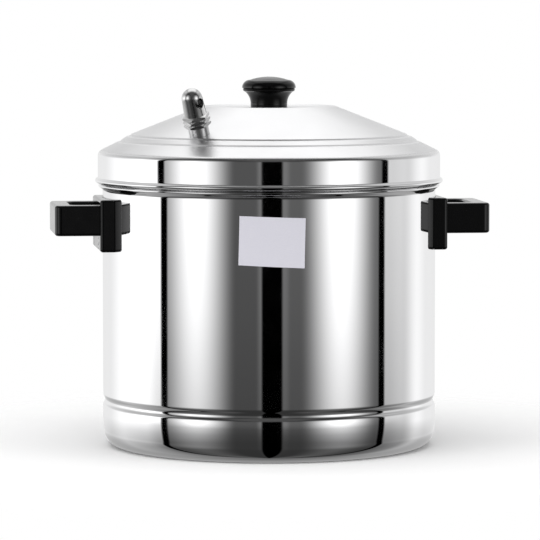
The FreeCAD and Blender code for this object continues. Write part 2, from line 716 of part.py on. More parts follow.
def make_handle(side, turn):
    half = "(handle_width / 2)"
    back = f"({POT_R} + wall_gap)"
    reach = f"({POT_R} + handle_reach)"
    strap_z = f"({STUD_Z} - strap_height / 2)"
    outward = V(1, 0, 0)
    studs = (("near", f"-{STUD_Y}"), ("far", STUD_Y))

    bracket = new_body(f"handle_bracket_{side}")
    strap = new_sketch(bracket, "strap_plan", "XY_Plane", strap_z)
    strap_in = f"({POT_R} + weld_gap)"
    strap_out = f"({POT_R} + weld_gap + strap_thickness)"
    sector(strap, strap_in, strap_out, STRAP_W)
    padded(bracket, "strap", strap, "strap_height")
    stud_in = f"(sqrt({strap_in} ^ 2 - ({STUD_Y} - stud_diameter / 2) ^ 2) + weld_gap)"
    for name, along in studs:
        base = (stud_in, along, STUD_Z)
        cylinder(bracket, f"stud_{name}", "stud_diameter / 2", f"{STUD_X} - {stud_in}", base, outward)
    for name, along in studs:
        base = (f"{stud_in} - 2 * strap_thickness", along, STUD_Z)
        bore = "handle_screw_diameter / 2 + thread_clearance"
        length = f"{STUD_X} - {stud_in} + 4 * strap_thickness"
        cylinder(bracket, f"stud_bore_{name}", bore, length, base, outward, cut=True)
    place(bracket, turn=turn)

    grip = new_body(f"handle_grip_{side}")
    flange = new_sketch(grip, "flange_plan", "XY_Plane", FLANGE_Z)
    back_x = f"sqrt({back} ^ 2 - {half} ^ 2)"
    root = f"({FLANGE_X} - flange_round)"
    corners = [
        (back_x, f"-{half}"),
        (root, f"-{half}"),
        (FLANGE_X, f"-{half} + flange_round"),
        (FLANGE_X, f"{half} - flange_round"),
        (root, half),
        (back_x, half),
    ]
    arcs = {1: ("flange_round", "left"), 3: ("flange_round", "left"), 5: (back, "right")}
    outline(flange, corners, arcs)
    plate = padded(grip, "flange", flange, FLANGE_H)
    levels = [size(FLANGE_Z), size(HANDLE_TOP)]

    def front_rim(edge):
        middle = edge.valueAt((edge.FirstParameter + edge.LastParameter) / 2)
        behind = abs(math.hypot(middle.x, middle.y) - size(back)) < 0.01
        return any(lies_at(edge, level) for level in levels) and not behind

    rounded(grip, "flange_rim", plate, front_rim, "flange_round * 0.8")
    loop_z = f"({FLANGE_Z} + flange_below_loop)"
    loop = new_sketch(grip, "loop_plan", "XY_Plane", loop_z)
    flank = f"({half} - loop_inset)"
    inside = f"({flank} - leg_thickness)"
    bar_in = f"({reach} - bar_thickness)"
    corners = [
        (root, f"-{flank}"),
        (f"{reach} - loop_outer_round", f"-{flank}"),
        (reach, f"-{flank} + loop_outer_round"),
        (reach, f"{flank} - loop_outer_round"),
        (f"{reach} - loop_outer_round", flank),
        (root, flank),
        (root, inside),
        (f"{bar_in} - loop_inner_round", inside),
        (bar_in, f"{inside} - loop_inner_round"),
        (bar_in, f"-{inside} + loop_inner_round"),
        (f"{bar_in} - loop_inner_round", f"-{inside}"),
        (root, f"-{inside}"),
    ]
    arcs = {
        1: ("loop_outer_round", "left"),
        3: ("loop_outer_round", "left"),
        7: ("loop_inner_round", "right"),
        9: ("loop_inner_round", "right"),
    }
    outline(loop, corners, arcs)
    hoop = padded(grip, "loop", loop, "loop_height")
    loop_levels = [size(loop_z), size(f"{loop_z} + loop_height")]

    def loop_rim(edge):
        level = any(lies_at(edge, height) for height in loop_levels)
        return level and edge.BoundBox.XMax > size(f"{FLANGE_X} + flange_round / 2")

    rounded(grip, "loop_rim", hoop, loop_rim, "loop_edge_round")
    recess = new_sketch(grip, "strap_recess_plan", "XY_Plane", f"{strap_z} - pocket_clearance")
    sector(
        recess, f"({POT_R} - pocket_clearance)", f"({strap_out} + pocket_clearance)",
        f"({STRAP_W} + 2 * pocket_clearance)",
    )
    pocketed(grip, "strap_recess", recess, "strap_height + 2 * pocket_clearance")
    head_seat = f"({FLANGE_X} - handle_screw_head_height)"
    for name, along in studs:
        cylinder(
            grip, f"stud_hole_{name}", "stud_diameter / 2 + pocket_clearance",
            f"{STUD_X} + pocket_clearance - {back_x}", (back_x, along, STUD_Z), outward, cut=True,
        )
        cylinder(
            grip, f"screw_hole_{name}", "handle_screw_diameter / 2 + bolt_clearance",
            f"{FLANGE_X} - {STUD_X} + flange_round", (STUD_X, along, STUD_Z), outward, cut=True,
        )
        cylinder(
            grip, f"screw_seat_{name}", "handle_screw_head_diameter / 2 + bolt_clearance",
            "handle_screw_head_height + flange_round", (head_seat, along, STUD_Z), outward, cut=True,
        )
    place(grip, turn=turn)

    screw_end = f"(sqrt({POT_R} ^ 2 - ({STUD_Y} - handle_screw_diameter / 2) ^ 2) + wall_gap)"
    screws = []
    for name, along in studs:
        screw = new_body(f"handle_screw_{side}_{name}")
        cylinder(
            screw, "shank", "handle_screw_diameter / 2", f"{head_seat} - {screw_end}",
            (screw_end, along, STUD_Z), outward,
        )
        cylinder(
            screw, "head", "handle_screw_head_diameter / 2", "handle_screw_head_height",
            (head_seat, along, STUD_Z), outward,
        )
        place(screw, turn=turn)
        screws.append(screw)
    group(f"handle_screws_{side}", screws)


# Rack
def make_foot():
    foot = new_body("rack_foot")
    outer_r = "foot_bend"
    inner_r = "(foot_bend - foot_strip_thickness)"
    strip = "foot_strip_thickness"
    leg = new_sketch(foot, "leg_side", "XZ_Plane")
    corners = [
        ("0", f"foot_height - {strip}"),
        (f"{FOOT_R} - {outer_r}", f"foot_height - {strip}"),
        (f"{FOOT_R} - {strip}", f"foot_height - {outer_r}"),
        (f"{FOOT_R} - {strip}", "0"),
        (f"{FOOT_R} + foot_toe", "0"),
        (f"{FOOT_R} + foot_toe", strip),
        (FOOT_R, strip),
        (FOOT_R, f"foot_height - {outer_r}"),
        (f"{FOOT_R} - {outer_r}", "foot_height"),
        ("0", "foot_height"),
    ]
    outline(leg, corners, {1: (inner_r, "right"), 7: (outer_r, "left")})
    arm = padded(foot, "leg_strip", leg, "foot_strip_width", both_sides=True)
    polar(foot, "legs", [arm], FOOT_LEGS)
    hub = new_sketch(foot, "hub_plan", "XY_Plane", f"foot_height - {strip}")
    circle(hub, "0", "0", "foot_hub_diameter / 2")
    padded(foot, "hub", hub, strip)
    cylinder(
        foot, "rod_hole", ROD_HOLE, "foot_height", ("0", "0", "foot_height / 2"), V(0, 0, 1), cut=True
    )
    place(foot, FLOOR, turn=90.0)


def make_plate(index):
    """Round plate with pressed cups, its zero height at the plate's upper face."""
    plate = new_body(f"idli_plate_{index + 1}")
    disc = [
        (ROD_HOLE, "-plate_thickness"),
        (f"{PLATE_R} - plate_thickness", "-plate_thickness"),
        (f"{PLATE_R} - plate_thickness", "-plate_rim_depth"),
        (PLATE_R, "-plate_rim_depth"),
        (PLATE_R, "0"),
        (ROD_HOLE, "0"),
    ]
    turned(plate, "disc", disc)
    bowl_r = f"(({CUP_R} ^ 2 + cup_depth ^ 2) / (2 * cup_depth))"
    outer_r = f"({bowl_r} + plate_thickness)"
    level = "(plate_thickness / 2)"
    outer_mouth = f"sqrt({outer_r} ^ 2 - ({bowl_r} - cup_depth + {level}) ^ 2)"
    boss = [
        (CUP_RING, "-cup_depth - plate_thickness"),
        (f"{CUP_RING} + {outer_mouth}", f"-{level}"),
        (CUP_RING, f"-{level}"),
    ]
    cup = turned(plate, "cup_boss", boss, {0: (outer_r, "left")}, axis=CUP_RING)
    bowl = [
        (CUP_RING, "-cup_depth"),
        (f"{CUP_RING} + {CUP_R}", "0"),
        (f"{CUP_RING} + {CUP_R}", "plate_thickness"),
        (CUP_RING, "plate_thickness"),
    ]
    hollow = turned(plate, "cup_bowl", bowl, {0: (bowl_r, "left")}, cut=True, axis=CUP_RING)
    holes = new_sketch(plate, "steam_holes_plan", "XY_Plane", "-cup_depth - 2 * plate_thickness")
    for k in range(HOLES_PER_CUP):
        angle = 360 / HOLES_PER_CUP * (k + 0.5)
        circle(
            holes, f"{CUP_RING} + cup_hole_ring_radius * cos({angle})",
            f"cup_hole_ring_radius * sin({angle})", "cup_hole_diameter / 2",
        )
    step = 180 / CUPS_PER_PLATE
    circle(
        holes, f"{VENT_RING} * cos({step})", f"{VENT_RING} * sin({step})", "vent_hole_diameter / 2"
    )
    vents = pocketed(plate, "steam_holes", holes, "cup_depth + 4 * plate_thickness")
    polar(plate, "cups", [cup, hollow, vents], CUPS_PER_PLATE)
    height = f"first_plate_height + {index} * plate_pitch"
    place(plate, height, turn=size(f"{index % 2} * plate_turn"))


def make_spacer(index):
    """Tube that holds a plate above the foot or above the plate below it."""
    spacer = new_body(f"rack_spacer_{index + 1}")
    low = FOOT_TOP if index == 0 else f"(first_plate_height + {index - 1} * plate_pitch)"
    high = f"(first_plate_height + {index} * plate_pitch - plate_thickness)"
    ring(spacer, "spacer_tube", "spacer_diameter / 2", ROD_HOLE, "0", f"{high} - {low}")
    place(spacer, low)


def make_rod():
    rod = new_body("rack_rod")
    radius = "rod_diameter / 2"
    seat = f"({FOOT_TOP} - foot_strip_thickness)"
    top = f"({TOP_PLATE} + rod_top_margin)"
    form = [
        ("0", f"{seat} - rod_head_height"),
        ("rod_head_diameter / 2", f"{seat} - rod_head_height"),
        ("rod_head_diameter / 2", seat),
        (radius, seat),
        (radius, f"{top} - {radius} / 4"),
        (f"{radius} * 3 / 4", top),
        ("0", top),
    ]
    turned(rod, "rod_form", form)


def make_rod_nut():
    washer = new_body("rack_washer")
    ring(washer, "rack_washer_disc", "rack_washer_diameter / 2", ROD_HOLE, "0", "rack_washer_thickness")
    place(washer, TOP_PLATE)

    nut = new_body("rack_wing_nut")
    bore = "(rod_diameter / 2 + thread_clearance)"
    base = "(wing_nut_diameter / 2)"
    crown = f"({bore} + ({base} - {bore}) / 2)"
    hub = [(bore, "0"), (base, "0"), (crown, "wing_nut_height"), (bore, "wing_nut_height")]
    turned(nut, "nut_hub", hub)
    wing = new_sketch(nut, "wing_side", "XZ_Plane")
    reach = "(wing_span / 2)"
    tip = "(wing_height / 3)"
    corners = [
        (crown, "wing_thickness / 2"),
        (f"{base} + wing_thickness", "wing_thickness / 2"),
        (reach, f"wing_height - {tip}"),
        (f"{reach} - {tip} * 0.4", "wing_height"),
        (f"{reach} - {tip}", "wing_height"),
        (crown, "wing_nut_height * 0.8"),
    ]
    outline(wing, corners, {2: (tip, "left"), 1: ("wing_height", "left"), 4: ("wing_height", "right")})
    blade = padded(nut, "wing", wing, "wing_thickness", both_sides=True)
    polar(nut, "wings", [blade], 2)
    place(nut, f"{TOP_PLATE} + rack_washer_thickness")


make_pot()
make_lid()
make_knob()
make_whistle()
make_handle("left", 180.0)
make_handle("right", 0.0)
make_foot()
for number in range(PLATE_COUNT):
    make_plate(number)
    make_spacer(number)
make_rod()
make_rod_nut()
doc.recompute()

faults = [item.Label for item in doc.Objects if {"Invalid", "Error"} & set(item.State)]
faults += [part.Label for part in PARTS if part.Shape.isNull() or not part.Shape.isValid()]
if faults:
    raise SystemExit(f"failed objects: {faults}")

os.makedirs("parts", exist_ok=True)
for part in PARTS:
    part.Shape.exportStep(f"parts/{part.Label}.step")
    solids = part.Shape.Solids
    print(part.Label, len(solids), "solids", round(sum(s.Volume for s in solids) / 1000, 2), "cm3")
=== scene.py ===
"""Idli steamer dressed for its photograph: mirror steel, black mouldings, a bare paper label, studio light."""

import logging
import math
from collections.abc import Callable
from dataclasses import dataclass, field
from enum import Enum

import bpy
from mathutils import Matrix, Vector


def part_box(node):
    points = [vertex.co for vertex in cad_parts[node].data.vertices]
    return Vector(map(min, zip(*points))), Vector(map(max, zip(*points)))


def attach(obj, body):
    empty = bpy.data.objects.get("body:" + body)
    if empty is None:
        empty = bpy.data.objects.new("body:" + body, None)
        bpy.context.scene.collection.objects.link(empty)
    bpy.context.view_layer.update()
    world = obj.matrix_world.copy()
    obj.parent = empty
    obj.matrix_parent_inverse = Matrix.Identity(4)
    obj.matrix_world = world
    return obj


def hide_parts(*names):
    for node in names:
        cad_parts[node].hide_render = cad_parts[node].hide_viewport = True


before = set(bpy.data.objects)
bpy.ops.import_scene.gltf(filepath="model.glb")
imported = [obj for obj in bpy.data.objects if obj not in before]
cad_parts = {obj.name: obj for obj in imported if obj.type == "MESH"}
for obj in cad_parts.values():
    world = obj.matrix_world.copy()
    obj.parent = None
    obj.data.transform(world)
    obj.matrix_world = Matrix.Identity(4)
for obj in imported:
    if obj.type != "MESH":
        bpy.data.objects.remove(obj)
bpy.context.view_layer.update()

LOG = logging.getLogger("idli_steamer")
MM = 0.001
TINY = 1e-6
FINE_EDGE = 0.0002
SOFT_EDGE = 0.0003
PRESSED_EDGE = 0.0005

Point = tuple[float, float]
Colour = tuple[float, float, float]
Scale = tuple[float, float, float]
Faces = list[tuple[int, ...]]
Shade = bpy.types.NodeSocket | float | tuple[float, float, float, float]


class Turn(Enum):
    """Side on which an arc's centre lies, seen along the way of an outline."""

    LEFT = 1
    RIGHT = -1


# Node trees and finishes
class Tree:
    """Node tree of a material or of the world, filled node by node."""

    NOISE_LOW = 0.3
    NOISE_HIGH = 0.7

    def __init__(self, tree: bpy.types.NodeTree) -> None:
        """Empty a node tree.

        Args:
            tree: Node tree of a material or of the world.
        """
        tree.nodes.clear()
        self.tree = tree

    def add(self, kind: str, inputs: dict | None = None, **settings) -> bpy.types.Node:
        """Add one node.

        Args:
            kind: Blender's name of the node type, without its common prefix.
            inputs: Values or output sockets for the node's inputs, by name or index.
            settings: Attributes of the node itself.

        Returns:
            The new node.
        """
        node = self.tree.nodes.new("ShaderNode" + kind)
        for name, value in settings.items():
            setattr(node, name, value)
        for name, value in (inputs or {}).items():
            if isinstance(value, bpy.types.NodeSocket):
                self.tree.links.new(value, node.inputs[name])
            else:
                node.inputs[name].default_value = value
        return node

    def noise(self, place: bpy.types.NodeSocket, scale: float, detail: float = 3.0) -> bpy.types.NodeSocket:
        """Noise texture.

        Args:
            place: Coordinates that the noise follows.
            scale: Cells per unit of those coordinates.
            detail: Number of finer layers.

        Returns:
            The noise's value socket.
        """
        return self.add("TexNoise", {"Vector": place, "Scale": scale, "Detail": detail}).outputs["Fac"]

    def between(self, value: bpy.types.NodeSocket, low: float, high: float) -> bpy.types.NodeSocket:
        """Stretch a noise value over a range.

        Args:
            value: Socket with values around the middle of 0 to 1.
            low: Result at the noise's low end.
            high: Result at its high end.

        Returns:
            The stretched value's socket.
        """
        wanted = {"Value": value, "From Min": self.NOISE_LOW, "From Max": self.NOISE_HIGH}
        return self.add("MapRange", wanted | {"To Min": low, "To Max": high}).outputs["Result"]

    def blend(self, factor: bpy.types.NodeSocket, one: Colour, other: Colour) -> bpy.types.NodeSocket:
        """Mix two colours.

        Args:
            factor: Socket from 0 to 1.
            one: Colour at 0.
            other: Colour at 1.

        Returns:
            The mixed colour's socket.
        """
        node = self.add("Mix", {0: factor}, data_type="RGBA")
        node.inputs[6].default_value = (*one, 1.0)
        node.inputs[7].default_value = (*other, 1.0)
        return node.outputs[2]

    def bump(
        self, height: bpy.types.NodeSocket, depth: float, below: bpy.types.NodeSocket | None = None
    ) -> bpy.types.NodeSocket:
        """Relief on a surface.

        Args:
            height: Socket with the relief's height from 0 to 1.
            depth: Height of the relief in metres.
            below: Normal of a coarser relief that this one lies on.

        Returns:
            The normal's socket.
        """
        inputs = {"Height": height, "Distance": depth, "Strength": 1.0}
        if below:
            inputs["Normal"] = below
        return self.add("Bump", inputs).outputs["Normal"]


@dataclass(frozen=True)
class Finish:
    """A surface finish that becomes one material, shared by all pieces that have it."""

    name: str
    colour: Colour
    shade: Colour
    rough: Point

    def material(self) -> bpy.types.Material:
        """Make the material, or find it if a piece has it already.

        Returns:
            The finish's material.
        """
        title = f"finish_{self.name}"
        found = bpy.data.materials.get(title)
        if found:
            return found
        made = bpy.data.materials.new(title)
        made.use_nodes = True
        tree = Tree(made.node_tree)
        shader = tree.add("BsdfPrincipled")
        place = tree.add("TexCoord").outputs["Object"]
        self.fill(tree, shader, place)
        tree.add("OutputMaterial", {"Surface": shader.outputs["BSDF"]})
        return made

    def fill(self, tree: Tree, shader: bpy.types.Node, place: bpy.types.NodeSocket) -> None:
        """Give the shader its colour, roughness and relief.

        Args:
            tree: The material's node tree.
            shader: Its principled shader.
            place: Object coordinates in metres.
        """
        raise NotImplementedError


@dataclass(frozen=True)
class Steel(Finish):
    """Bare or plated metal with faint sheet waves, cloudy gloss and fine lines from working."""

    wave_depth: float = 4e-5
    wave_scale: float = 9.0
    line_depth: float = 3e-7
    line_scale: Scale = (3.0, 3.0, 900.0)
    cloud_scale: float = 38.0

    def fill(self, tree: Tree, shader: bpy.types.Node, place: bpy.types.NodeSocket) -> None:
        """Give the shader a metal surface.

        Args:
            tree: The material's node tree.
            shader: Its principled shader.
            place: Object coordinates in metres.
        """
        cloud = tree.noise(place, self.cloud_scale)
        streak_place = tree.add("Mapping", {"Vector": place, "Scale": self.line_scale}).outputs["Vector"]
        streak = tree.noise(streak_place, 1.0, 2.0)
        wave = tree.bump(tree.noise(place, self.wave_scale, 1.0), self.wave_depth)
        shader.inputs["Metallic"].default_value = 1.0
        tree.tree.links.new(tree.blend(cloud, self.shade, self.colour), shader.inputs["Base Color"])
        tree.tree.links.new(tree.between(cloud, *self.rough), shader.inputs["Roughness"])
        tree.tree.links.new(tree.bump(streak, self.line_depth, wave), shader.inputs["Normal"])


@dataclass(frozen=True)
class SatinTop(Steel):
    """Mirror metal that turns satin above a height."""

    satin: Point = (0.32, 0.40)
    heights: Point = (0.2185, 0.2225)

    def fill(self, tree: Tree, shader: bpy.types.Node, place: bpy.types.NodeSocket) -> None:
        """Give the shader a metal surface with two glosses.

        Args:
            tree: The material's node tree.
            shader: Its principled shader.
            place: Object coordinates in metres.
        """
        super().fill(tree, shader, place)
        gloss = shader.inputs["Roughness"].links[0].from_socket
        matt = tree.between(tree.noise(place, self.cloud_scale), *self.satin)
        height = tree.add("SeparateXYZ", {"Vector": place}).outputs["Z"]
        low, high = self.heights
        share = tree.add("MapRange", {"Value": height, "From Min": low, "From Max": high}).outputs["Result"]
        both = tree.add("Mix", {0: share, 2: gloss, 3: matt}).outputs[0]
        tree.tree.links.new(both, shader.inputs["Roughness"])


@dataclass(frozen=True)
class Moulding(Finish):
    """Hard moulded plastic or rubber with a faint grain and a mottled gloss."""

    mottle_scale: float = 120.0
    swirl_scale: float = 60.0
    swirl_depth: float = 1.5e-5
    grain_scale: float = 1400.0
    grain_depth: float = 4e-6
    specular: float = 0.5

    def fill(self, tree: Tree, shader: bpy.types.Node, place: bpy.types.NodeSocket) -> None:
        """Give the shader a moulded surface.

        Args:
            tree: The material's node tree.
            shader: Its principled shader.
            place: Object coordinates in metres.
        """
        mottle = tree.noise(place, self.mottle_scale)
        swirl = tree.bump(tree.noise(place, self.swirl_scale, 1.0), self.swirl_depth)
        shader.inputs["Specular IOR Level"].default_value = self.specular
        tree.tree.links.new(tree.blend(mottle, self.shade, self.colour), shader.inputs["Base Color"])
        tree.tree.links.new(tree.between(mottle, *self.rough), shader.inputs["Roughness"])
        grain = tree.noise(place, self.grain_scale, 2.0)
        tree.tree.links.new(tree.bump(grain, self.grain_depth, swirl), shader.inputs["Normal"])


@dataclass(frozen=True)
class Paper(Finish):
    """Thin coated paper with fibres and small creases."""

    fibre_scale: Scale = (700.0, 700.0, 2600.0)
    fibre_depth: float = 6e-6
    crease_scale: float = 55.0
    crease_depth: float = 2.5e-4

    def fill(self, tree: Tree, shader: bpy.types.Node, place: bpy.types.NodeSocket) -> None:
        """Give the shader a paper surface.

        Args:
            tree: The material's node tree.
            shader: Its principled shader.
            place: Object coordinates in metres.
        """
        fibre_place = tree.add("Mapping", {"Vector": place, "Scale": self.fibre_scale}).outputs["Vector"]
        fibre = tree.noise(fibre_place, 1.0)
        tree.tree.links.new(tree.blend(fibre, self.shade, self.colour), shader.inputs["Base Color"])
        tree.tree.links.new(tree.between(fibre, *self.rough), shader.inputs["Roughness"])
        crease = tree.bump(tree.noise(place, self.crease_scale, 1.0), self.crease_depth)
        tree.tree.links.new(tree.bump(fibre, self.fibre_depth, crease), shader.inputs["Normal"])


MIRROR_STEEL = Steel("mirror_steel", (0.93, 0.93, 0.935), (0.90, 0.90, 0.91), (0.025, 0.06))
LID_STEEL = SatinTop("lid_steel", (0.93, 0.93, 0.935), (0.90, 0.90, 0.91), (0.025, 0.06))
PLATE_STEEL = Steel(
    "plate_steel", (0.80, 0.80, 0.81), (0.70, 0.70, 0.71), (0.16, 0.30),
    wave_depth=1e-4, wave_scale=14.0, line_depth=2e-6, line_scale=(260.0, 260.0, 40.0),
)
PLAIN_STEEL = Steel(
    "plain_steel", (0.72, 0.72, 0.73), (0.60, 0.60, 0.61), (0.20, 0.36),
    wave_depth=3e-5, wave_scale=60.0, line_depth=2e-6, line_scale=(40.0, 40.0, 1500.0),
)
PLATED = Steel(
    "bright_plated", (0.82, 0.82, 0.82), (0.66, 0.66, 0.66), (0.12, 0.22),
    wave_depth=6e-5, wave_scale=110.0, line_depth=1.5e-6, line_scale=(500.0, 500.0, 2500.0),
)
BRASS = Steel(
    "turned_brass", (0.78, 0.58, 0.28), (0.62, 0.43, 0.18), (0.18, 0.34),
    wave_depth=2e-5, wave_scale=90.0, line_depth=2e-6, line_scale=(60.0, 60.0, 2500.0),
)
BLACK_MOULDING = Moulding(
    "black_moulding", (0.0020, 0.0020, 0.0022), (0.0010, 0.0010, 0.0011), (0.06, 0.14), specular=0.4
)
SILICONE = Moulding("gasket_silicone", (0.10, 0.10, 0.10), (0.06, 0.06, 0.06), (0.5, 0.7), specular=0.35)
LABEL_PAPER = Paper("label_paper", (0.745, 0.737, 0.80), (0.67, 0.66, 0.737), (0.42, 0.58))


# Outlines and meshes
@dataclass
class Outline:
    """Way of a turned piece's section, in millimetres of radius and height."""

    SHARPEST = 0.3

    points: list[Point] = field(default_factory=list)

    def to(self, radius: float, height: float) -> "Outline":
        """Go straight to a point.

        Args:
            radius: The point's distance from the axis.
            height: Its height.

        Returns:
            This outline.
        """
        self.points.append((radius, height))
        return self

    def arc(self, radius: float, height: float, bend: float, turn: Turn, steps: int = 14) -> "Outline":
        """Go to a point along the shorter arc of a circle.

        Args:
            radius: The point's distance from the axis.
            height: Its height.
            bend: The circle's radius.
            turn: Side on which the circle's centre lies.
            steps: Number of straight pieces.

        Returns:
            This outline.
        """
        start, stop = Vector(self.points[-1]), Vector((radius, height))
        chord = stop - start
        side = Vector((-chord.y, chord.x)).normalized() * turn.value
        centre = start + chord / 2 + side * math.sqrt(max(bend**2 - chord.length_squared / 4, 0.0))
        first, last = start - centre, stop - centre
        sweep = math.atan2(first.x * last.y - first.y * last.x, first.dot(last))
        for k in range(1, steps + 1):
            angle = sweep * k / steps
            spoke = Vector((
                first.x * math.cos(angle) - first.y * math.sin(angle),
                first.x * math.sin(angle) + first.y * math.cos(angle),
            ))
            self.points.append(tuple(centre + spoke))
        return self

    def eased(self, corner: Point, reach: float, steps: int = 8) -> "Outline":
        """Round the corner nearest to a point.

        Args:
            corner: Radius and height of the corner.
            reach: Length of outline that the rounding takes on each side.
            steps: Number of straight pieces.

        Returns:
            This outline.
        """
        spots = [Vector(p) for p in self.points]
        middle = min(range(len(spots)), key=lambda k: (spots[k] - Vector(corner)).length)
        before, kept_before = self._walk(spots, middle, -1, reach)
        after, kept_after = self._walk(spots, middle, 1, reach)
        curve = []
        for k in range(steps + 1):
            t = k / steps
            curve.append(before * (1 - t) ** 2 + spots[middle] * 2 * t * (1 - t) + after * t**2)
        kept = spots[: kept_before + 1] + curve + spots[kept_after:]
        self.points = [tuple(p) for p in kept]
        return self

    @staticmethod
    def _walk(spots: list[Vector], start: int, step: int, reach: float) -> tuple[Vector, int]:
        """Find the point a given way along the outline.

        Args:
            spots: The outline's points.
            start: Index to start from.
            step: 1 to go forwards or -1 to go back.
            reach: Way to go.

        Returns:
            The point, and the index of the first point beyond it.
        """
        here, index = spots[start], start
        while True:
            ahead = spots[index + step]
            length = (ahead - here).length
            if length > reach:
                return here + (ahead - here) * (reach / length), index + step
            reach -= length
            here, index = ahead, index + step

    def inner(self, thickness: float) -> list[Point]:
        """Inner face of a sheet whose outer face this outline is, walked backwards.

        Args:
            thickness: The sheet's thickness.

        Returns:
            Points of the inner face, from the outline's end to its start.
        """
        spots = [Vector(p) for p in self.points]
        moved = []
        for k, spot in enumerate(spots):
            sides = []
            for a, b in ((k - 1, k), (k, k + 1)):
                if a >= 0 and b < len(spots):
                    way = (spots[b] - spots[a]).normalized()
                    sides.append(Vector((-way.y, way.x)))
            middle = sum(sides, Vector((0.0, 0.0))).normalized()
            moved.append(spot + middle * thickness / max(middle.dot(sides[0]), self.SHARPEST))
        if self.points[-1][0] < TINY:
            moved[-1].x = 0.0
        if self.points[0][0] < TINY:
            moved[0].x = 0.0
        return [tuple(p) for p in reversed(moved)]


class Maker:
    """Makes mesh objects and gives them their body and finish; its lengths are in millimetres."""

    CREASE = math.radians(32.0)
    LONG = 3.0
    HOLD = 0.4
    SHELL_STEPS = 320
    BEVEL_STEPS = 3

    @classmethod
    def held(cls, loop: list[Point]) -> list[Point]:
        """Add points near both ends of long straight pieces, which keeps smooth shading flat between them.

        Args:
            loop: Closed section in millimetres.

        Returns:
            The section with the points added.
        """
        dense: list[Point] = []
        for here, ahead in zip(loop, loop[1:] + loop[:1]):
            dense.append(here)
            start, stop = Vector(here), Vector(ahead)
            length = (stop - start).length
            if length > cls.LONG:
                dense += [tuple(start.lerp(stop, share)) for share in (cls.HOLD / length, 1 - cls.HOLD / length)]
        return dense

    @classmethod
    def mesh(cls, name: str, points: list[Vector], faces: Faces) -> bpy.types.Object:
        """Make a smooth mesh with hard edges where its faces meet sharply.

        Args:
            name: Name of the piece.
            points: Corners in metres.
            faces: Corner numbers of each face.

        Returns:
            The new object, linked into the scene.
        """
        data = bpy.data.meshes.new(name)
        data.from_pydata(points, [], faces)
        data.validate()
        piece = bpy.data.objects.new(name, data)
        bpy.context.scene.collection.objects.link(piece)
        cls.smooth(piece)
        return piece

    @classmethod
    def smooth(cls, piece: bpy.types.Object) -> None:
        """Shade a mesh smoothly between its hard edges.

        Args:
            piece: Object whose mesh is shaded.
        """
        piece.data.shade_smooth()
        piece.data.set_sharp_from_angle(angle=cls.CREASE)

    @classmethod
    def lathe(
        cls, loop: list[Point], around: int, ripple: Callable[[float, float, float], float] | None = None
    ) -> tuple[list[Vector], Faces]:
        """Turn a closed section about the Z axis.

        Args:
            loop: Section in millimetres, counter-clockwise with the axis on its left.
            around: Number of steps round the axis.
            ripple: Change of radius for a radius, a height and an angle.

        Returns:
            Points in metres, and faces.
        """
        points: list[Vector] = []
        rows: list[list[int]] = []
        for radius, height in cls.held(loop):
            if radius < TINY:
                points.append(Vector((0.0, 0.0, height * MM)))
                rows.append([len(points) - 1] * around)
                continue
            row = []
            for k in range(around):
                angle = 2 * math.pi * k / around
                reach = radius + (ripple(radius, height, angle) if ripple else 0.0)
                row.append(len(points))
                points.append(Vector((reach * math.cos(angle), reach * math.sin(angle), height)) * MM)
            rows.append(row)
        faces: Faces = []
        for low, high in zip(rows, rows[1:] + rows[:1]):
            for k in range(around):
                after = (k + 1) % around
                corners = (low[k], low[after], high[after], high[k])
                distinct = tuple(dict.fromkeys(corners))
                if len(distinct) > 2:
                    faces.append(distinct)
        return points, faces

    @staticmethod
    def dress(
        piece: bpy.types.Object, finish: Finish, body: str, slot: str, stands_for: tuple[str, ...] = ()
    ) -> None:
        """Finish a new piece and fasten it to its body.

        Args:
            piece: The new object.
            finish: Its surface.
            body: Body that it moves with.
            slot: Material slot of the record; not used.
            stands_for: CAD nodes that it is shown in place of.
        """
        piece.data.materials.clear()
        piece.data.materials.append(finish.material())
        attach(piece, body)
        if stands_for:
            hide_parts(*stands_for)
        LOG.info("made %s on %s", piece.name, body)

    @classmethod
    def refinish(cls, node: str, finish: Finish, bevel: float = 0.0) -> None:
        """Give a CAD node a better surface, and softer edges if asked.

        Args:
            node: Name of the node.
            finish: Its surface.
            bevel: Width of the edges' rounding in metres.
        """
        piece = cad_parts[node]
        piece.data.materials.clear()
        piece.data.materials.append(finish.material())
        cls.smooth(piece)
        if bevel:
            edge = piece.modifiers.new("soft_edges", "BEVEL")
            edge.width = bevel
            edge.segments = cls.BEVEL_STEPS
            edge.limit_method = "ANGLE"
            edge.angle_limit = cls.CREASE
            edge.harden_normals = True
        LOG.info("finished %s as %s", node, finish.name)


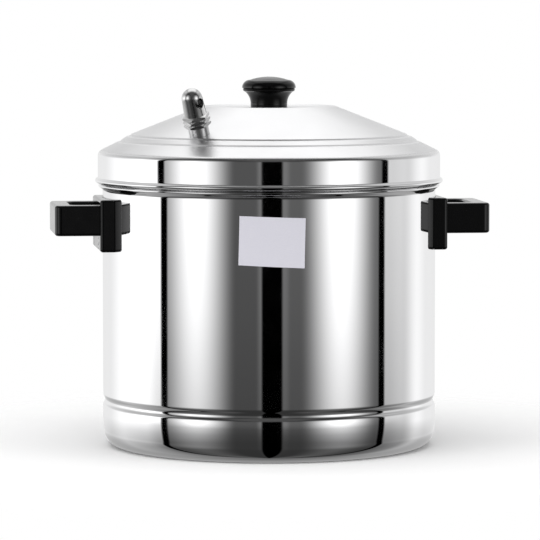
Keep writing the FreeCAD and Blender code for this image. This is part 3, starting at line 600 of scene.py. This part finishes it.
# Sub-assemblies
@dataclass
class Pot:
    """Drawn pot with its rolled groove and rim, in millimetres."""

    radius: float = 125.0
    height: float = 212.0
    wall: float = 1.2
    corner: float = 12.0
    corner_slack: float = 1.05
    corner_steps: int = 24
    foot_lean: float = 0.55
    foot_bend: float = 125.0
    groove_height: float = 34.9
    groove_half: float = 3.4
    groove_depth: float = 1.4
    groove_ease: float = 1.3
    groove_steps: int = 16
    bead_height: float = 195.2
    bead_reach: float = 3.2
    bead_round: float = 2.2
    bead_ease: float = 0.9
    bead_steps: int = 10
    flare: float = 2.4
    flare_ease: float = 1.2

    def build(self) -> None:
        """Make the pot's shell and dress what is fixed to it."""
        bend = (self.groove_half**2 + self.groove_depth**2) / (2 * self.groove_depth)
        ledge = self.bead_height + self.bead_round
        low, high = self.groove_height - self.groove_half, self.groove_height + self.groove_half
        outer = Outline([(0.0, 0.0)]).to(self.radius - self.corner, 0.0)
        sole = self.corner * self.corner_slack
        outer.arc(self.radius - self.foot_lean, self.corner, sole, Turn.LEFT, self.corner_steps)
        outer.arc(self.radius, low, self.foot_bend, Turn.LEFT, self.groove_steps)
        outer.arc(self.radius, high, bend, Turn.RIGHT, self.groove_steps)
        outer.to(self.radius, self.bead_height - self.flare).to(self.radius + self.bead_reach, self.bead_height)
        lip = self.radius + self.bead_reach - self.bead_round
        outer.arc(lip, ledge, self.bead_round, Turn.LEFT, self.bead_steps)
        outer.to(self.radius, ledge).to(self.radius, self.height)
        for corner in ((self.radius, low), (self.radius, high)):
            outer.eased(corner, self.groove_ease)
        outer.eased((self.radius, self.bead_height - self.flare), self.flare_ease)
        outer.eased((self.radius + self.bead_reach, self.bead_height), self.bead_ease)
        loop = outer.points + outer.inner(self.wall)
        shell = Maker.mesh("pot_wall", *Maker.lathe(loop, Maker.SHELL_STEPS))
        Maker.dress(shell, MIRROR_STEEL, "pot", "polished_steel", ("pot_shell",))
        for side in ("left", "right"):
            Maker.refinish(f"handle_grip_{side}", BLACK_MOULDING)
            Maker.refinish(f"handle_bracket_{side}", PLAIN_STEEL)


@dataclass
class HandleScrews:
    """Slotted screws that hold the handles, in millimetres and degrees.

    Each side has its way outwards along X and the turns of its two slots.
    """

    SIDES = (("left", -1.0, (25.0, -40.0)), ("right", 1.0, (65.0, 10.0)))

    head_height: float = 2.4
    shank_radius: float = 2.5
    slot_width: float = 1.0
    slot_depth: float = 1.1
    edge: float = 0.3
    overlap: float = 0.05
    arc_steps: int = 20

    def build(self) -> None:
        """Make the two screws of each handle."""
        for side, outward, turns in self.SIDES:
            node = f"handle_screws_{side}"
            low, high = (Vector(corner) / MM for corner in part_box(node))
            reach = max(abs(low.x), abs(high.x))
            length = high.x - low.x
            radius = (high.z - low.z) / 2
            points: list[Vector] = []
            faces: Faces = []
            for along, turn in zip((low.y + radius, high.y - radius), turns):
                seat = Vector((outward * (reach - self.head_height), along, (low.z + high.z) / 2)) * MM
                for spots, sides in self.screw(radius, length - self.head_height, math.radians(turn)):
                    first = len(points)
                    points += [seat + Vector((outward * p.z, outward * p.x, p.y)) for p in spots]
                    faces += [tuple(k + first for k in face) for face in sides]
            piece = Maker.mesh(f"slotted_screws_{side}", points, faces)
            Maker.dress(piece, PLAIN_STEEL, "pot", "plain_steel", (node,))

    def screw(self, radius: float, shank: float, turn: float) -> list[tuple[list[Vector], Faces]]:
        """One screw that points along +Z, its zero height under the head.

        Args:
            radius: Radius of the head.
            shank: Length below the head.
            turn: Angle of the slot.

        Returns:
            Points in metres and faces of the shank with the head's lower part, and of the head's two halves.
        """
        floor = self.head_height - self.slot_depth
        loop = [(0.0, -shank), (self.shank_radius, -shank), (self.shank_radius, 0.0), (radius, 0.0)]
        solids = [Maker.lathe(loop + [(radius, floor), (0.0, floor)], 4 * self.arc_steps)]
        start = math.asin(self.slot_width / 2 / radius)
        angles = [start + (math.pi - 2 * start) * k / self.arc_steps for k in range(self.arc_steps + 1)]
        middle = Vector((0.0, radius / 2))
        top = self.head_height
        levels = ((floor - self.overlap, 0.0), (top - self.edge, 0.0), (top, self.edge))
        for half in (0.0, math.pi):
            points: list[Vector] = []
            for height, inset in levels:
                for angle in angles:
                    spot = Vector((radius * math.cos(angle), radius * math.sin(angle)))
                    spot -= (spot - middle).normalized() * inset
                    spot.rotate(Matrix.Rotation(turn + half, 2))
                    points.append(Vector((spot.x, spot.y, height)) * MM)
            count = len(angles)
            faces: Faces = [tuple(reversed(range(count))), tuple(range(2 * count, 3 * count))]
            for level in (0, count):
                for k in range(count):
                    after = (k + 1) % count
                    faces.append((level + k, level + after, level + count + after, level + count + k))
            solids.append((points, faces))
        return solids


@dataclass
class Lid:
    """Pressed lid with its rolled edge and two pressed rings, in millimetres.

    Each ring is given by half its width and its depth.
    """

    RING_STEPS = 12

    edge: float = 197.7
    radius: float = 128.5
    wall: float = 1.2
    bead_width: float = 3.8
    bead_reach: float = 2.0
    bead_ease: float = 0.8
    bead_steps: int = 8
    shoulder_height: float = 23.2
    shoulder_round: float = 5.0
    shoulder_steps: int = 16
    step: Point = (112.0, 31.3)
    cone: Point = (105.0, 35.7)
    top: Point = (49.5, 57.5)
    top_ease: float = 0.8
    seat: Point = (45.0, 56.3)
    seat_ease: float = 1.5
    lower_ring: Point = (2.1, 0.42)
    upper_ring: Point = (2.1, 0.88)

    def build(self) -> None:
        """Make the lid's shell and dress its knob."""
        slope = math.atan2(self.step[1] - self.shoulder_height, self.radius - self.step[0])
        tangent = self.shoulder_round * math.tan((math.pi / 2 - slope) / 2)
        bead = ((self.bead_width / 2) ** 2 + self.bead_reach**2) / (2 * self.bead_reach)
        turn_in = (self.radius - tangent * math.cos(slope), self.shoulder_height + tangent * math.sin(slope))
        plain = Outline([(self.radius, 0.0)]).to(self.radius, self.shoulder_height - tangent)
        plain.arc(*turn_in, self.shoulder_round, Turn.LEFT, self.shoulder_steps)
        for spot in (self.step, self.cone, self.top, self.seat, (0.0, self.seat[1])):
            plain.to(*spot)
        inside = plain.inner(self.wall)
        outer = Outline([(self.radius, 0.0)])
        outer.arc(self.radius + self.bead_reach, self.bead_width / 2, bead, Turn.LEFT, self.bead_steps)
        outer.arc(self.radius, self.bead_width, bead, Turn.LEFT, self.bead_steps)
        outer.to(self.radius, self.shoulder_height - tangent)
        outer.arc(*turn_in, self.shoulder_round, Turn.LEFT, self.shoulder_steps)
        self.score(outer, turn_in, self.step, self.cone, *self.lower_ring)
        self.score(outer, self.step, self.cone, self.top, *self.upper_ring)
        for spot in (self.top, self.seat, (0.0, self.seat[1])):
            outer.to(*spot)
        outer.eased(self.top, self.top_ease)
        outer.eased(self.seat, self.seat_ease)
        outer.eased((self.radius, self.bead_width), self.bead_ease)
        loop = [(r, z + self.edge) for r, z in outer.points + inside]
        shell = Maker.mesh("lid_wall", *Maker.lathe(loop, Maker.SHELL_STEPS))
        Maker.dress(shell, LID_STEEL, "lid", "polished_steel", ("lid_shell",))
        Maker.refinish("lid_knob", BLACK_MOULDING)
        Maker.refinish("knob_insert", BRASS)
        Maker.refinish("knob_washer", PLAIN_STEEL, FINE_EDGE)
        Maker.refinish("knob_screw", PLAIN_STEEL, SOFT_EDGE)

    @classmethod
    def score(
        cls, outer: Outline, before: Point, ring: Point, after: Point, half: float, depth: float
    ) -> None:
        """Press a narrow ring into the outline at a corner.

        Args:
            outer: Outline that is being drawn.
            before: Point of the outline before the corner.
            ring: The corner.
            after: Point after it.
            half: Half of the ring's width.
            depth: Depth of the ring.
        """
        middle = Vector(ring)
        back = (Vector(before) - middle).normalized()
        ahead = (Vector(after) - middle).normalized()
        into = Vector((-ahead.y, ahead.x)) - Vector((-back.y, back.x))
        for k in range(cls.RING_STEPS + 1):
            way = 2 * k / cls.RING_STEPS - 1
            spot = middle + (ahead if way > 0 else back) * abs(way) * half
            outer.to(*(spot + into.normalized() * depth * (1 + math.cos(math.pi * way)) / 2))


@dataclass
class Whistle:
    """Steam whistle on the lid: plated pieces with softened edges, their rounding in metres."""

    edge: float = 0.0004

    def build(self) -> None:
        """Dress the whistle's pieces."""
        for node in ("whistle_stem", "whistle_cap", "whistle_nuts", "whistle_lock_nut"):
            Maker.refinish(node, PLATED, self.edge)
        Maker.refinish("whistle_gasket", SILICONE, self.edge)


@dataclass
class Rack:
    """Lift-out rack of cup plates on a threaded rod, in millimetres."""

    plates: int = 4
    rod_radius: float = 4.0
    rod_head: float = 4.0
    rod_chamfer: float = 1.0
    rod_steps: int = 48
    thread_length: float = 26.0
    thread_pitch: float = 1.25
    thread_depth: float = 0.6
    steps_per_turn: int = 8

    def build(self) -> None:
        """Make the rod and dress the rack's other pieces."""
        self.rod()
        for k in range(1, self.plates + 1):
            Maker.refinish(f"idli_plate_{k}", PLATE_STEEL)
            Maker.refinish(f"rack_spacer_{k}", PLAIN_STEEL, SOFT_EDGE)
        Maker.refinish("rack_foot", PLAIN_STEEL, PRESSED_EDGE)
        Maker.refinish("rack_washer", PLAIN_STEEL, SOFT_EDGE)
        Maker.refinish("rack_wing_nut", PLAIN_STEEL, PRESSED_EDGE)

    def rod(self) -> None:
        """Make the rod with its head and the thread for the wing nut."""
        low, high = (Vector(corner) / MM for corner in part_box("rack_rod"))
        seat, start, stop = low.z + self.rod_head, high.z - self.thread_length, high.z - self.rod_chamfer
        loop = [(0.0, low.z), (high.x, low.z), (high.x, seat), (self.rod_radius, seat), (self.rod_radius, start)]
        steps = round((stop - start) / self.thread_pitch * self.steps_per_turn)
        loop += [(self.rod_radius, start + (stop - start) * k / steps) for k in range(1, steps + 1)]
        loop += [(self.rod_radius - self.rod_chamfer, high.z), (0.0, high.z)]

        def groove(radius: float, height: float, angle: float) -> float:
            """Depth of the thread's groove, as a change of radius."""
            if height <= start or radius < self.rod_radius - TINY:
                return 0.0
            tooth = abs(2 * ((height / self.thread_pitch - angle / (2 * math.pi)) % 1.0) - 1)
            return -self.thread_depth * min((height - start) / self.thread_pitch, 1.0) * (1 - tooth)

        piece = Maker.mesh("threaded_rod", *Maker.lathe(loop, self.rod_steps, groove))
        Maker.dress(piece, PLAIN_STEEL, "rack", "plain_steel", ("rack_rod",))


@dataclass
class Label:
    """Bare paper label on the pot's front, given by its corners: degrees round the pot and millimetres up.

    Two corners lift: each curl is given by the shares of width and height at which it starts.
    """

    top_left: Point = (253.3, 179.7)
    top_right: Point = (275.2, 178.1)
    bottom_right: Point = (274.8, 142.0)
    bottom_left: Point = (252.9, 144.3)
    radius: float = 125.06
    thickness: float = 0.12
    lift: float = 0.5
    lower_right_curl: Point = (0.86, 0.35)
    upper_left_curl: Point = (0.06, 0.8)
    curl_bend: float = 1.5
    columns: int = 48
    rows: int = 36

    def spot(self, across: float, up: float, out: float) -> Vector:
        """Point of the label's sheet.

        Args:
            across: 0 at the left edge to 1 at the right.
            up: 0 at the lower edge to 1 at the upper.
            out: Distance outwards from the sheet's back.

        Returns:
            The point in metres.
        """
        left = Vector(self.bottom_left).lerp(Vector(self.top_left), up)
        right = Vector(self.bottom_right).lerp(Vector(self.top_right), up)
        angle, height = left.lerp(right, across)
        side, level = self.lower_right_curl
        curl = max(across - side, 0.0) / (1 - side) * max(level - up, 0.0) / level
        side, level = self.upper_left_curl
        curl += max(side - across, 0.0) / side * max(up - level, 0.0) / (1 - level)
        radius = self.radius + out + self.lift * curl**self.curl_bend
        turn = math.radians(angle)
        return Vector((radius * math.cos(turn), radius * math.sin(turn), height)) * MM

    def build(self) -> None:
        """Make the label."""
        wide, tall = self.columns + 1, self.rows + 1
        points, faces = [], []
        for out in (0.0, self.thickness):
            points += [self.spot(i / self.columns, j / self.rows, out) for j in range(tall) for i in range(wide)]
        layer = wide * tall
        for j in range(self.rows):
            for i in range(self.columns):
                a = j * wide + i
                quad = (a, a + 1, a + wide + 1, a + wide)
                faces.append(tuple(reversed(quad)))
                faces.append(tuple(k + layer for k in quad))
        border = list(range(wide))
        border += [j * wide + self.columns for j in range(1, tall)]
        border += [self.rows * wide + i for i in range(self.columns - 1, -1, -1)]
        border += [j * wide for j in range(self.rows - 1, 0, -1)]
        for a, b in zip(border, border[1:] + border[:1]):
            faces.append((a, b, b + layer, a + layer))
        sheet = Maker.mesh("front_label", points, faces)
        Maker.dress(sheet, LABEL_PAPER, "pot", "")


# Studio
@dataclass
class Studio:
    """Camera, light and floor as in a product photograph.

    Panels and flags stand round the object by degrees. The other rows give a brightness for each rise or
    forward lean of a direction. Each lamp has a name, a place, a size and a power.
    """

    turn: float = math.radians(7.0)
    distance: float = 2.716
    height: float = 0.339
    pitch: float = math.radians(4.37)
    aim_right: float = math.radians(0.017)
    lens: float = 241.07
    clip: float = 50.0
    ambient: float = 0.62
    floor_reach: float = 1.5
    floor_fade: Point = (0.16, 0.42)

    PANELS = (
        (-180, 0.80), (-145, 0.85), (-118, 1.12), (-95, 1.15), (-80, 0.85), (-78, 0.20), (-51, 0.82), (-22, 0.035),
        (-9, 0.035), (-5, 0.10), (11, 0.09), (15, 0.05), (21, 0.05), (51, 0.86), (80, 0.08), (88, 0.46),
        (105, 0.58), (124, 1.0), (140, 0.86), (180, 0.80),
    )
    FLAGS = ((-79.3, -73.8), (-4.8, 8.8), (81.5, 85.8))
    FLAG_EDGE = 0.6
    FACING = (-0.5, 0.3)
    WALL_FALL = (
        (-1.0, 0.05), (-0.5, 0.09), (-0.27, 0.23), (-0.19, 0.46), (-0.12, 0.82), (-0.086, 1.36), (-0.058, 1.67),
        (0.2, 1.67),
    )
    SIDE_FALL = ((-1.0, 0.24), (-0.3, 0.50), (-0.22, 0.60), (-0.17, 0.74), (-0.12, 1.0), (0.2, 1.0))
    WALL_FILL = 0.03
    WALL_TOP = ((0.0, 0.0), (0.2, 0.0), (0.375, 0.55), (0.6, 1.0))
    CEILING = (
        (-1.3, 0.20), (-0.7, 0.40), (-0.1, 0.75), (0.08, 0.52), (0.2, 0.66), (0.3, 0.95), (0.4, 1.15), (1.0, 1.15),
    )
    CEILING_SLOPE = 1.3
    CEILING_LEAN = (-0.4, 0.4)
    CEILING_LIFT = 0.15
    CEILING_FRONT = ((-0.25, 1.0), (-0.05, 0.75), (0.08, 0.30), (0.25, 0.07), (1.0, 0.06))

    LAMPS = (
        ("overhead", (-0.3, -0.6, 1.9), 2.2, 22.0),
        ("left_side", (-2.0, -1.2, 0.9), 1.4, 10.0),
        ("right_side", (2.0, -1.2, 0.9), 1.4, 10.0),
    )
    LAMP_AIM = (0.0, 0.0, 0.12)

    def build(self) -> None:
        """Set up the studio."""
        self.camera()
        self.world()
        self.floor()
        self.lamps()
        bpy.context.scene.view_settings.view_transform = "Standard"

    def camera(self) -> None:
        """Place the camera at the photograph's viewpoint."""
        data = bpy.data.cameras.new("camera")
        data.lens = self.lens
        data.clip_end = self.clip
        camera = bpy.data.objects.new("camera", data)
        camera.location = (
            -self.distance * math.sin(self.turn), -self.distance * math.cos(self.turn), self.height,
        )
        camera.rotation_euler = (math.pi / 2 - self.pitch, 0.0, -self.turn - self.aim_right)
        bpy.context.scene.collection.objects.link(camera)
        bpy.context.scene.camera = camera

    def ramp(
        self, tree: Tree, value: bpy.types.NodeSocket, stops: tuple[Point, ...], soft: bool = False
    ) -> bpy.types.NodeSocket:
        """Brightness that follows a value through a row of stops.

        Args:
            tree: The node tree.
            value: Socket with the value.
            stops: Values and their brightness, in rising order.
            soft: Whether the brightness eases in and out at each stop.

        Returns:
            The brightness socket.
        """
        low, high = stops[0][0], stops[-1][0]
        share = tree.add("MapRange", {"Value": value, "From Min": low, "From Max": high}).outputs["Result"]
        node = tree.add("ValToRGB", {"Fac": share})
        band = node.color_ramp
        band.interpolation = "EASE" if soft else "LINEAR"
        while len(band.elements) < len(stops):
            band.elements.new(0.5)
        for element, (spot, level) in zip(band.elements, stops):
            element.position = (spot - low) / (high - low)
            element.color = (level, level, level, 1.0)
        return node.outputs["Color"]

    def join(self, tree: Tree, how: str, one: Shade, other: Shade, share: Shade = 1.0) -> bpy.types.NodeSocket:
        """Join two brightnesses.

        Args:
            tree: The node tree.
            how: Blender's name of the blend.
            one: First brightness.
            other: Second brightness.
            share: How much of the blend is taken, from 0 to 1.

        Returns:
            The joined brightness socket.
        """
        return tree.add("Mix", {0: share, 6: one, 7: other}, data_type="RGBA", blend_type=how).outputs[2]

    def surround(self, tree: Tree) -> bpy.types.NodeSocket:
        """Soft panels, dark flags and a lit ceiling behind the object, which polished steel mirrors.

        Args:
            tree: The world's node tree.

        Returns:
            The surround's colour socket.
        """
        way = tree.add("TexCoord").outputs["Generated"]
        rise = tree.add("SeparateXYZ", {"Vector": way}).outputs["Z"]
        sides = []
        for axis in (
            (math.cos(self.turn), -math.sin(self.turn), 0.0),
            (-math.sin(self.turn), -math.cos(self.turn), 0.0),
        ):
            sides.append(tree.add("VectorMath", {0: way, 1: axis}, operation="DOT_PRODUCT").outputs["Value"])
        right, front = sides
        turn = tree.add("Math", {0: right, 1: front}, operation="ARCTAN2").outputs[0]
        angle = tree.add("Math", {0: turn}, operation="DEGREES").outputs[0]
        flags = [(-180.0, 1.0)]
        for low, high in self.FLAGS:
            flags += [(low - self.FLAG_EDGE, 1.0), (low, 0.0), (high, 0.0), (high + self.FLAG_EDGE, 1.0)]
        flags.append((180.0, 1.0))
        near = {"Value": front, "From Min": self.FACING[0], "From Max": self.FACING[1]}
        fall = self.join(
            tree, "MIX", self.ramp(tree, rise, self.SIDE_FALL), self.ramp(tree, rise, self.WALL_FALL),
            tree.add("MapRange", near).outputs["Result"],
        )
        walls = self.join(tree, "MULTIPLY", self.ramp(tree, angle, self.PANELS, True), fall)
        walls = self.join(tree, "ADD", walls, (self.WALL_FILL, self.WALL_FILL, self.WALL_FILL, 1.0))
        walls = self.join(tree, "MULTIPLY", walls, self.ramp(tree, angle, tuple(flags)))
        aside = tree.add("Math", {0: right}, operation="ABSOLUTE").outputs[0]
        over = tree.add("Math", {0: aside, 1: -self.CEILING_SLOPE, 2: rise}, operation="MULTIPLY_ADD").outputs[0]
        ceiling = self.ramp(tree, over, self.CEILING)
        lit = self.ramp(tree, front, self.CEILING_FRONT)
        upper = self.join(tree, "MULTIPLY", ceiling, lit)
        back, ahead = self.CEILING_LEAN
        lean = {"Value": front, "From Min": back, "From Max": ahead, "To Min": self.CEILING_LIFT, "To Max": 0.0}
        lifted = tree.add("Math", {0: rise, 1: tree.add("MapRange", lean).outputs["Result"]}).outputs[0]
        share = self.ramp(tree, lifted, self.WALL_TOP)
        return self.join(tree, "MIX", walls, upper, share)

    def world(self) -> None:
        """Light the object softly, with a white backdrop for the camera and the surround for reflections."""
        world = bpy.data.worlds.new("studio")
        world.use_nodes = True
        bpy.context.scene.world = world
        tree = Tree(world.node_tree)
        seen = tree.add("LightPath")
        shown = tree.add("Background", {"Color": (1.0, 1.0, 1.0, 1.0), "Strength": self.ambient})
        mirrored = tree.add("Background", {"Color": self.surround(tree), "Strength": 1.0})
        clear = tree.add("Background", {"Color": (1.0, 1.0, 1.0, 1.0), "Strength": 1.0})
        for ray, background in (("Glossy", mirrored), ("Transmission", clear), ("Camera", clear)):
            choice = seen.outputs[f"Is {ray} Ray"]
            shown = tree.add("MixShader", {0: choice, 1: shown.outputs[0], 2: background.outputs[0]})
        tree.add("OutputWorld", {"Surface": shown.outputs[0]})

    def floor(self) -> None:
        """Lay a plain white floor that keeps the object's shadow and fades into the backdrop."""
        signs = ((-1, -1), (1, -1), (1, 1), (-1, 1))
        corners = [Vector((x, y, 0.0)) * self.floor_reach for x, y in signs]
        data = bpy.data.meshes.new("floor")
        data.from_pydata(corners, [], [(0, 1, 2, 3)])
        floor = bpy.data.objects.new("floor", data)
        bpy.context.scene.collection.objects.link(floor)
        material = bpy.data.materials.new("floor_white")
        material.use_nodes = True
        tree = Tree(material.node_tree)
        place = tree.add("TexCoord").outputs["Object"]
        shader = tree.add("BsdfPrincipled", {"Roughness": 0.9, "Specular IOR Level": 0.0})
        cloud = tree.blend(tree.noise(place, 2.0), (0.96, 0.96, 0.96), (0.98, 0.98, 0.98))
        tree.tree.links.new(cloud, shader.inputs["Base Color"])
        far = tree.add("VectorMath", {0: place}, operation="LENGTH").outputs["Value"]
        low, high = self.floor_fade
        fade = tree.add("MapRange", {"Value": far, "From Min": low, "From Max": high})
        fade.interpolation_type = "SMOOTHSTEP"
        gone = tree.add("BsdfTransparent")
        mixed = tree.add("MixShader", {0: fade.outputs["Result"], 1: shader.outputs[0], 2: gone.outputs[0]})
        tree.add("OutputMaterial", {"Surface": mixed.outputs[0]})
        data.materials.append(material)
        floor.visible_glossy = False

    def lamps(self) -> None:
        """Hang a soft lamp overhead and one on each side."""
        for name, spot, size, power in self.LAMPS:
            data = bpy.data.lights.new(name, "AREA")
            data.size = size
            data.energy = power
            lamp = bpy.data.objects.new(name, data)
            lamp.location = spot
            aim = Vector(self.LAMP_AIM) - Vector(spot)
            lamp.rotation_euler = aim.to_track_quat("-Z", "Y").to_euler()
            lamp.visible_glossy = False
            bpy.context.scene.collection.objects.link(lamp)


def main() -> None:
    """Build the studio and dress the steamer, piece by piece."""
    logging.basicConfig(level=logging.INFO, format="%(message)s")
    for part in (Studio(), Pot(), HandleScrews(), Lid(), Whistle(), Rack(), Label()):
        LOG.info("building %s", type(part).__name__)
        part.build()


if __name__ == "__main__":
    main()
